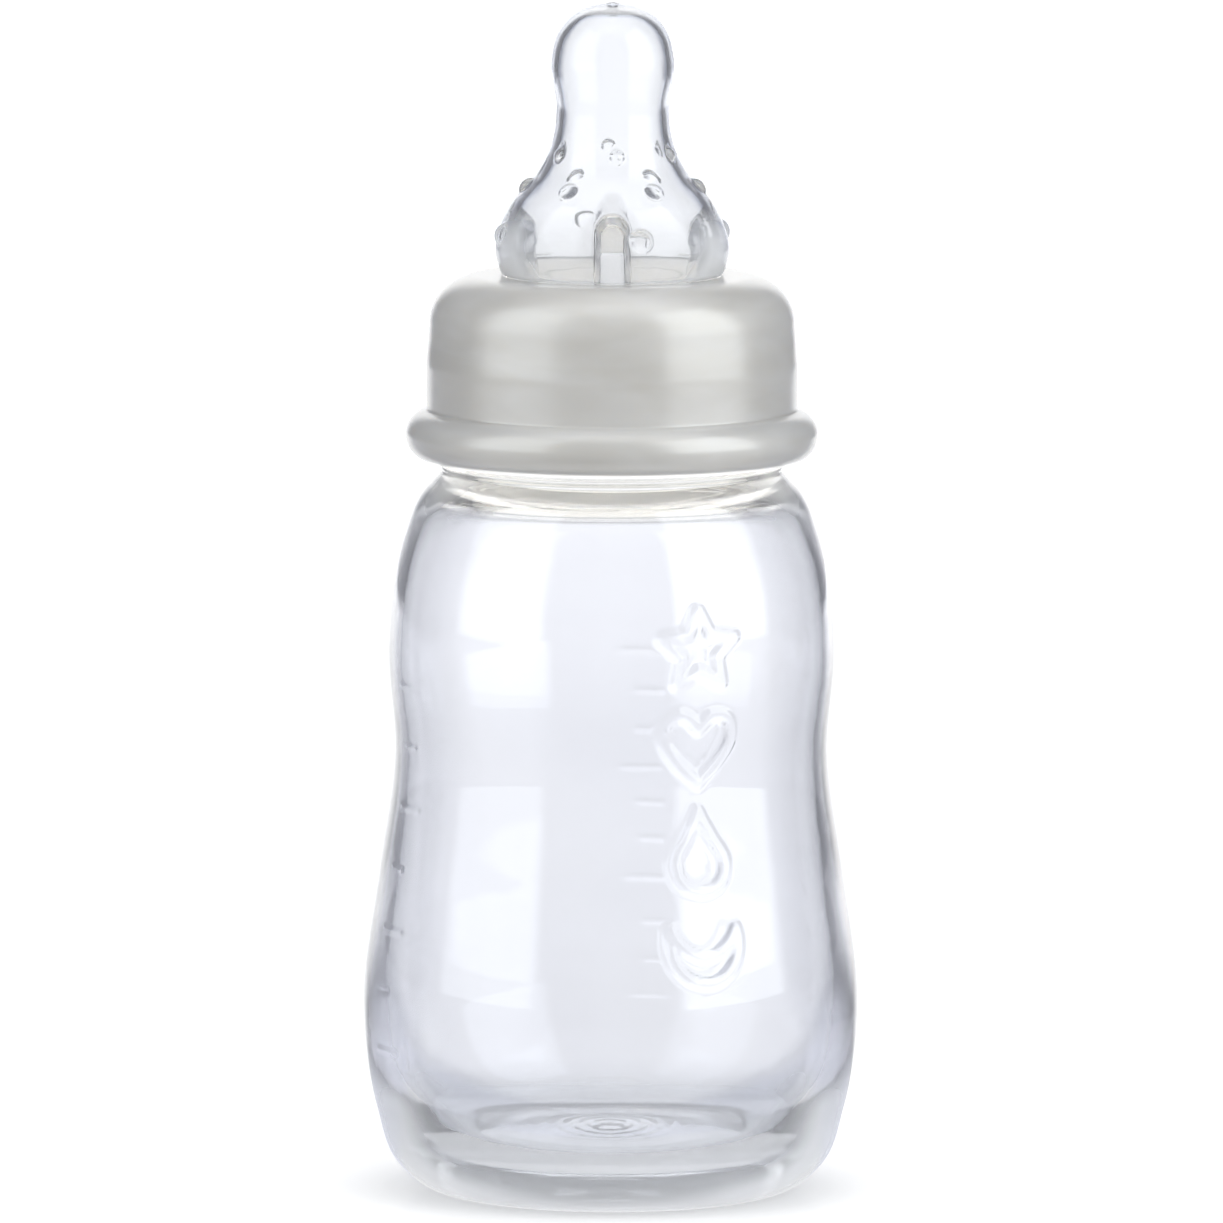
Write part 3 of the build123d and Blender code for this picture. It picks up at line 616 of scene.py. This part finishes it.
def clear_plastic(nodes, shader, where):
    """Blown clear plastic: a trace of lilac, painted shade that greys it along its edges, cloudy where much
    of it is seen, and slow waves.
    """
    _, _, height, reach = nodes.place(where)
    facing = nodes.add("ShaderNodeLayerWeight", in_Blend=0.35).outputs["Facing"]
    cloud = nodes.noise(where, 45.0, 3.0)
    body = nodes.mix(nodes.ramp(cloud, 0.35, 0.7), (0.942, 0.950, 0.982), (0.955, 0.962, 0.990))
    # painted shade: the colour greys where the surface is seen edge on, for the dark lines that refraction
    # gives along the outlines
    painted_edge_tint = nodes.mix(nodes.ramp(facing, 0.35, 1.0), body, (0.88, 0.89, 0.93))
    cool = nodes.mix(nodes.ramp(height, 0.003, 0.015), (0.93, 0.948, 0.982), painted_edge_tint)
    neck = nodes.ramp(height, 0.0845, 0.0885)
    nodes.link(nodes.mix(neck, cool, (0.96, 0.955, 0.93)), shader.inputs["Base Color"])

    # thick plastic clouds the view: the base, the heel and shoulder where seen edge on, and the neck
    leaning = nodes.math("SUBTRACT", reach, nodes.math("MULTIPLY", height, 0.6))
    outer = nodes.ramp(leaning, 0.0172, 0.0188)  # 1 on the heel's outer skin, 0 on the inner
    base = nodes.math("MULTIPLY", nodes.ramp(height, 0.001, 0.0125, 0.38, 0.0),
                      nodes.ramp(outer, 0.0, 1.0, 0.4, 1.0))
    heel = nodes.math("MULTIPLY", nodes.ramp(height, 0.0115, 0.0170, 0.56, 0.0), outer)
    thick = nodes.math("ADD", heel, nodes.ramp(height, 0.0790, 0.0860, 0.0, 0.40))
    cloudy = nodes.math("MULTIPLY", thick, nodes.ramp(facing, 0.26, 0.50))
    clear = nodes.math("MULTIPLY", nodes.math("SUBTRACT", 1.0, base), nodes.math("SUBTRACT", 1.0, cloudy))
    clear = nodes.math("SUBTRACT", nodes.math("MULTIPLY", clear, 0.965), nodes.math("MULTIPLY", neck, 0.10))
    nodes.link(clear, shader.inputs["Transmission Weight"])

    haze = nodes.noise(where, 120.0, 4.0, 0.6)
    nodes.link(nodes.ramp(haze, 0.3, 0.8, 0.018, 0.04), shader.inputs["Roughness"])
    settle(shader, Coat_Weight=0.8, Coat_Roughness=0.02, IOR=1.49)
    waves = nodes.noise(nodes.stretch(where, (1.0, 1.0, 0.45)), 38.0, 1.5)
    fine = nodes.noise(where, 260.0, 3.0)
    # the floor inside has faint rings round its middle
    rings = nodes.math("SINE", nodes.math("MULTIPLY", reach, 2 * math.pi / FLOOR_RING_STEP))
    rings = nodes.math("MULTIPLY", rings, nodes.ramp(reach, 0.003, 0.015, 1.0, 0.0))
    on_floor = nodes.math("MULTIPLY", nodes.ramp(height, 0.0058, 0.0064, 1.0, 0.0),
                          nodes.ramp(height, 0.0035, 0.004))
    rings = nodes.math("MULTIPLY", nodes.math("MULTIPLY", rings, on_floor), 0.14)
    ripple = nodes.math("ADD", nodes.math("ADD", waves, rings), nodes.math("MULTIPLY", fine, 0.05))
    nodes.bump(ripple, shader, 0.35, 0.0006)


def clear_silicone(nodes, shader, where):
    """Clear silicone: softer than the bottle, painted shade in blue along its edges, cloudy at its thick
    root.
    """
    _, _, height, reach = nodes.place(where)
    facing = nodes.add("ShaderNodeLayerWeight", in_Blend=0.4).outputs["Facing"]
    cloud = nodes.noise(where, 90.0, 3.0)
    body = nodes.mix(nodes.ramp(cloud, 0.35, 0.7), (0.915, 0.925, 0.945), (0.935, 0.942, 0.955))
    # painted shade: the colour turns blue where the surface is seen edge on, for the blue lines that
    # refraction gives along the outlines
    painted_edge_tint = nodes.mix(nodes.ramp(facing, 0.45, 1.0), body, (0.62, 0.70, 0.97))
    root = nodes.ramp(height, 0.1135, 0.1205, 1.0, 0.0)
    nodes.link(nodes.mix(root, painted_edge_tint, (0.93, 0.935, 0.945)), shader.inputs["Base Color"])
    # the outer skin of the root is cloudier still where it is seen edge on
    side = nodes.math("MULTIPLY", nodes.ramp(height, 0.1170, 0.1220, 0.55, 0.0),
                      nodes.ramp(facing, 0.20, 0.42))
    side = nodes.math("MULTIPLY", side, nodes.ramp(reach, 0.0122, 0.0128))
    clear = nodes.math("SUBTRACT", nodes.ramp(root, 0.0, 1.0, 0.975, 0.84, "LINEAR"), side)
    nodes.link(clear, shader.inputs["Transmission Weight"])
    haze = nodes.noise(where, 300.0, 4.0, 0.6)
    nodes.link(nodes.ramp(haze, 0.3, 0.8, 0.03, 0.08), shader.inputs["Roughness"])
    settle(shader, IOR=1.41)
    nodes.bump(nodes.noise(where, 160.0, 2.0), shader, 0.3, 0.0003)


def pearl_plastic(nodes, shader, where):
    """Pearl-white plastic: mica flow in long level streaks under a satin gloss, with painted light in the
    foot and bore.
    """
    _, _, height, reach = nodes.place(where)
    flow = nodes.noise(nodes.stretch(where, (1.0, 1.0, 3.2)), 70.0, 2.0, 0.5, 0.4)
    tone = nodes.mix(nodes.ramp(flow, 0.3, 0.75), (0.61, 0.60, 0.572), (0.675, 0.67, 0.654))
    # the foot, the bore with its ceiling and the teat's hole get a paler colour than the pearl skin: painted
    # light that lifts the shade on these faces
    foot = nodes.ramp(height, 0.0899, 0.0906, 1.0, 0.0)
    below = nodes.math("MULTIPLY", nodes.ramp(reach, 0.02052, 0.0206, 1.0, 0.0),
                       nodes.ramp(height, 0.11052, 0.11065, 1.0, 0.0))
    hole = nodes.ramp(reach, 0.0131, 0.0134, 1.0, 0.0)
    bore = nodes.math("MAXIMUM", foot, nodes.math("MAXIMUM", below, hole))
    nodes.link(nodes.mix(bore, tone, (0.90, 0.89, 0.86)), shader.inputs["Base Color"])
    # a glow there stands in for the light that comes through the wall
    glow = nodes.ramp(height, 0.094, 0.106, 0.95, 0.50)
    nodes.link(nodes.math("MULTIPLY", bore, glow), shader.inputs["Emission Strength"])
    nodes.link(nodes.ramp(flow, 0.3, 0.8, 0.30, 0.38), shader.inputs["Roughness"])
    settle(shader, Emission_Color=(1.0, 0.985, 0.965, 1.0), Metallic=0.25, Coat_Weight=0.85,
           Coat_Roughness=0.13, Subsurface_Weight=0.7, Subsurface_Scale=0.004,
           Subsurface_Radius=(1.0, 0.92, 0.8))
    skin = nodes.noise(where, 320.0, 2.0)
    slow = nodes.noise(nodes.stretch(where, (1.0, 1.0, 2.0)), 60.0, 2.0)
    nodes.bump(nodes.math("ADD", nodes.math("MULTIPLY", skin, 0.06), slow), shader, 0.15, 0.0004)


# The room round the axis: dim in front, a softbox on each side, dark flanks that close in with
# distance, a white backdrop. Azimuths are in degrees from the front, + to the right.
ROOM, FLANK_LEFT, FLANK_RIGHT, BACKDROP, CEILING = 0.56, 0.48, 0.36, 1.25, 0.6
FAR_FLANK, FLANK_TINT = 0.22, (0.88, 0.90, 1.0)
FLANK_FROM, FLANK_TO, FAR_FLANK_TO, SOFT = 97.0, 149.0, 161.0, 8.0
SOFTBOXES = [(-62.0, 25.0, 1.15), (62.0, 27.0, 1.75)]  # middle, half width, level
SOFTBOX_TOP = (52.0, 60.0)  # elevations over which a softbox ends
BACKDROP_FADE, BACKDROP_ABOVE = (14.0, 34.0), 0.35  # elevations where the backdrop dims, and to what share
CEILING_FADE = (48.0, 70.0)  # elevations over which the ceiling begins
PAINTED_BOX_ON_FLOOR = 0.2  # painted softbox light: share of a softbox's level that the floor carries on
PAINTED_SHADE_NEAR_FLOOR = 0.84  # painted shade: the floor's level round the bottle, as a share of the level far off
PAINTED_LIGHT_POOL, PAINTED_LIGHT_POOL_REACH = 0.85, 0.055  # a painted pool of light, for the light the bottle would focus: least level of the floor close to the bottle, and how far it goes
WHITE = 1.15  # what the eye sees behind everything


def room_level(nodes, x, y, far, above=1.0):
    """The room in a direction: its level without the softboxes, the azimuth in radians, how much is flank.

    far runs from 0 close by to 1 far off; above is a factor on the backdrop's own light.
    """
    azimuth = nodes.math("ARCTAN2", x, nodes.math("MULTIPLY", y, -1.0))
    around = nodes.math("ABSOLUTE", azimuth)
    side = nodes.ramp(azimuth, -0.05, 0.05, FLANK_LEFT, FLANK_RIGHT)
    side = nodes.math("ADD", side, nodes.math("MULTIPLY", far, nodes.math("SUBTRACT", FAR_FLANK, side)))
    into = nodes.ramp(around, math.radians(FLANK_FROM - SOFT), math.radians(FLANK_FROM + SOFT))
    flank = nodes.math("ADD", ROOM, nodes.math("MULTIPLY", nodes.math("SUBTRACT", side, ROOM), into))
    closing = nodes.math("MULTIPLY", far, math.radians(FAR_FLANK_TO - FLANK_TO))
    shifted = nodes.math("SUBTRACT", around, closing)
    past = nodes.ramp(shifted, math.radians(FLANK_TO - SOFT), math.radians(FLANK_TO + SOFT))
    behind = nodes.math("MULTIPLY", nodes.math("SUBTRACT", BACKDROP, side), past)
    level = nodes.math("ADD", flank, nodes.math("MULTIPLY", behind, above))
    return level, azimuth, nodes.math("MULTIPLY", into, nodes.math("SUBTRACT", 1.0, past))


def sector(nodes, azimuth, middle, half_width, soft):
    off = nodes.math("ABSOLUTE", nodes.math("SUBTRACT", azimuth, math.radians(middle)))
    return nodes.ramp(off, math.radians(half_width - soft), math.radians(half_width + soft), 1.0, 0.0)


def pale_floor(nodes, shader, where):
    """White to the eye, with a painted contact shadow; to what the bottle mirrors and bends it glows with
    painted light that follows the room round the axis.
    """
    nodes.tree.nodes.remove(shader)
    out = next(n for n in nodes.tree.nodes if n.type == "OUTPUT_MATERIAL")
    mottle = nodes.noise(where, 3.0, 2.0)
    diffuse = nodes.add("ShaderNodeBsdfDiffuse")
    nodes.link(nodes.mix(mottle, (0.60, 0.60, 0.605), (0.62, 0.62, 0.62)), diffuse.inputs["Color"])
    gloss = nodes.add("ShaderNodeBsdfGlossy", in_Roughness=0.06)
    gloss.inputs["Color"].default_value = (0.9, 0.9, 0.9, 1)
    both = nodes.add("ShaderNodeMixShader")
    both.inputs[0].default_value = 0.07
    nodes.link(diffuse.outputs[0], both.inputs[1])
    nodes.link(gloss.outputs[0], both.inputs[2])
    glow = nodes.add("ShaderNodeEmission")
    seen = nodes.add("ShaderNodeAddShader")
    nodes.link(both.outputs[0], seen.inputs[0])
    nodes.link(glow.outputs[0], seen.inputs[1])

    x, y, _, reach = nodes.place(where)
    level, azimuth, flank = room_level(nodes, x, y, nodes.ramp(reach, 0.95, 1.5))
    # painted softbox light: each softbox's sector is painted onto the floor's glow
    for middle, half_width, strength in SOFTBOXES:
        box = sector(nodes, azimuth, middle, half_width, 5.0)
        level = nodes.math("ADD", level, nodes.math("MULTIPLY", box, strength * PAINTED_BOX_ON_FLOOR))
    # a painted contact shadow, to the eye: the floor's glow dims close to the bottle
    nodes.link(nodes.ramp(reach, 0.020, 0.038, 0.30, 0.60), glow.inputs["Strength"])
    # painted shade: the floor's glow dims round the bottle
    level = nodes.math("MULTIPLY", level, nodes.ramp(reach, 0.03, 0.75, PAINTED_SHADE_NEAR_FLOOR, 1.0))
    # a painted pool of light close to the bottle, for the light the bottle would focus onto the floor
    level = nodes.math("MAXIMUM", level, nodes.ramp(reach, PAINTED_LIGHT_POOL_REACH, PAINTED_LIGHT_POOL_REACH * 4, PAINTED_LIGHT_POOL, 0.0))
    painted_room_light = nodes.add("ShaderNodeEmission")
    nodes.link(nodes.mix(flank, (0.98, 0.985, 1.0), FLANK_TINT), painted_room_light.inputs["Color"])
    nodes.link(level, painted_room_light.inputs["Strength"])
    by_eye = nodes.add("ShaderNodeLightPath").outputs["Is Camera Ray"]
    choice = nodes.add("ShaderNodeMixShader")
    nodes.link(by_eye, choice.inputs[0])
    nodes.link(painted_room_light.outputs[0], choice.inputs[1])
    nodes.link(seen.outputs[0], choice.inputs[2])
    nodes.link(choice.outputs[0], out.inputs["Surface"])


# ---------------------------------------------------------------- pieces

bottle = make_bottle()
bottle.data.materials.append(material("clear_blown_plastic", clear_plastic))
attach(bottle, "bottle")
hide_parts("bottle")

collar = make_collar()
collar.data.materials.append(material("pearl_white_plastic", pearl_plastic))
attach(collar, "collar")
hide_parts("collar")

teat = make_teat()
teat.data.materials.append(material("clear_silicone", clear_silicone))
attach(teat, "teat")
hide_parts("teat")

# ---------------------------------------------------------------- floor, light and camera

floor_mesh = bpy.data.meshes.new("floor")
FLOOR_REACH, FLOOR_SIDES = 6.0, 96
floor_ring = [(FLOOR_REACH * math.cos(2 * math.pi * k / FLOOR_SIDES),
               FLOOR_REACH * math.sin(2 * math.pi * k / FLOOR_SIDES), -0.00002) for k in range(FLOOR_SIDES)]
floor_mesh.from_pydata(floor_ring, [], [tuple(range(FLOOR_SIDES))])
floor = bpy.data.objects.new("floor", floor_mesh)
bpy.context.scene.collection.objects.link(floor)
floor.data.materials.append(material("pale_floor", pale_floor))

world = bpy.data.worlds.new("studio")
bpy.context.scene.world = world
world.use_nodes = True
sky = Nodes(world.node_tree)
x, y, z, _ = sky.place(sky.add("ShaderNodeTexCoord").outputs["Generated"])
elevation = sky.math("ARCSINE", z)
above = sky.ramp(elevation, *map(math.radians, BACKDROP_FADE), 1.0, BACKDROP_ABOVE)
radiance, azimuth, flank = room_level(sky, x, y, sky.ramp(elevation, -0.3, -0.05), above)
boxes = 0.0
for middle, half_width, strength in SOFTBOXES:
    across = sector(sky, azimuth, middle, half_width, 4.0)
    top = sky.ramp(elevation, *map(math.radians, SOFTBOX_TOP), 1.0, 0.0)
    box = sky.math("MULTIPLY", across, top)
    boxes = sky.math("ADD", box, boxes)
    radiance = sky.math("ADD", radiance, sky.math("MULTIPLY", box, strength))
overhead = sky.ramp(elevation, *map(math.radians, CEILING_FADE))
radiance = sky.math("ADD", radiance, sky.math("MULTIPLY", overhead, CEILING))
background = sky.add("ShaderNodeBackground")
light = sky.mix(boxes, (0.985, 0.99, 1.0), (0.945, 0.98, 1.0))
sky.link(sky.mix(flank, light, FLANK_TINT), background.inputs["Color"])
sky.link(radiance, background.inputs["Strength"])
plain = sky.add("ShaderNodeBackground", in_Strength=WHITE)
seen = sky.add("ShaderNodeLightPath").outputs["Is Camera Ray"]
choice = sky.add("ShaderNodeMixShader")
sky.link(seen, choice.inputs[0])
sky.link(background.outputs[0], choice.inputs[1])
sky.link(plain.outputs[0], choice.inputs[2])
sky.link(choice.outputs[0], sky.add("ShaderNodeOutputWorld").inputs["Surface"])

CAMERA_FROM = Vector((0.0, -1.9, 0.2938))
CAMERA_AT = Vector((0.0, 0.0, 0.0711))
CAMERA_ROLL = math.radians(0.13)
camera_data = bpy.data.cameras.new("camera")
camera_data.lens = 460.2
camera_data.sensor_width = 36.0
camera_data.clip_start, camera_data.clip_end = 0.05, 50.0
camera = bpy.data.objects.new("camera", camera_data)
bpy.context.scene.collection.objects.link(camera)
camera.location = CAMERA_FROM
camera.rotation_mode = "QUATERNION"
camera.rotation_quaternion = ((CAMERA_AT - CAMERA_FROM).to_track_quat("-Z", "Y")
                              @ Quaternion((0.0, 0.0, 1.0), CAMERA_ROLL))
bpy.context.scene.camera = camera
bpy.context.scene.view_settings.view_transform = "Standard"
bpy.context.scene.view_settings.look = "None"
cycles = bpy.context.scene.cycles
cycles.max_bounces = 32
cycles.diffuse_bounces = 16
cycles.glossy_bounces = 24
cycles.transmission_bounces = 32
